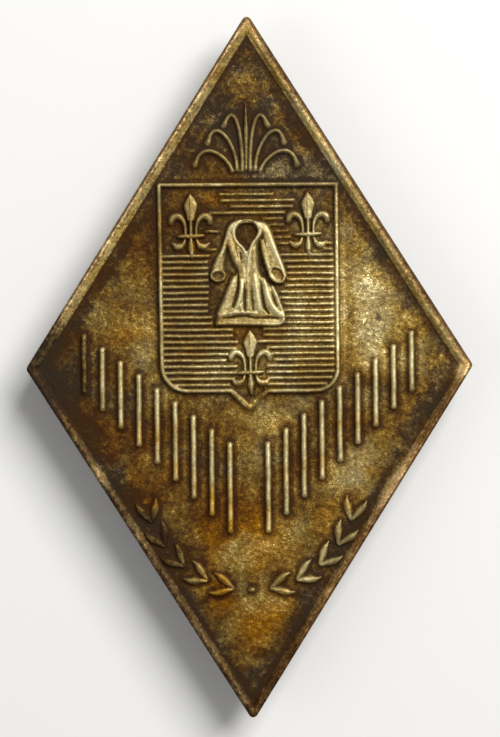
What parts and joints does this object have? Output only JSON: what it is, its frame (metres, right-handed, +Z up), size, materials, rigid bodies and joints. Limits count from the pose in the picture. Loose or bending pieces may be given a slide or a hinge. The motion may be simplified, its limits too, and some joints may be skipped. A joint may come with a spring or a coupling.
{
  "type": "pin badge",
  "caption": "Struck lozenge pin badge with raised rim, heraldic shield in relief and a brooch pin soldered to the back.",
  "frame": {"origin": "on the resting surface, under the middle of the badge", "axes": "+Z up out of the face, +Y towards the top corner, +X to the right as the face is seen"},
  "size_m": [0.023, 0.036, 0.0034],
  "materials": {
    "struck_brass": "aged, dark in the hollows, worn bright on the relief",
    "pin_metal": "dull, drawn and stamped"
  },
  "bodies": {
    "root": {"badge_plate": "struck_brass", "brooch_pin": "pin_metal"}
  },
  "joints": []
}
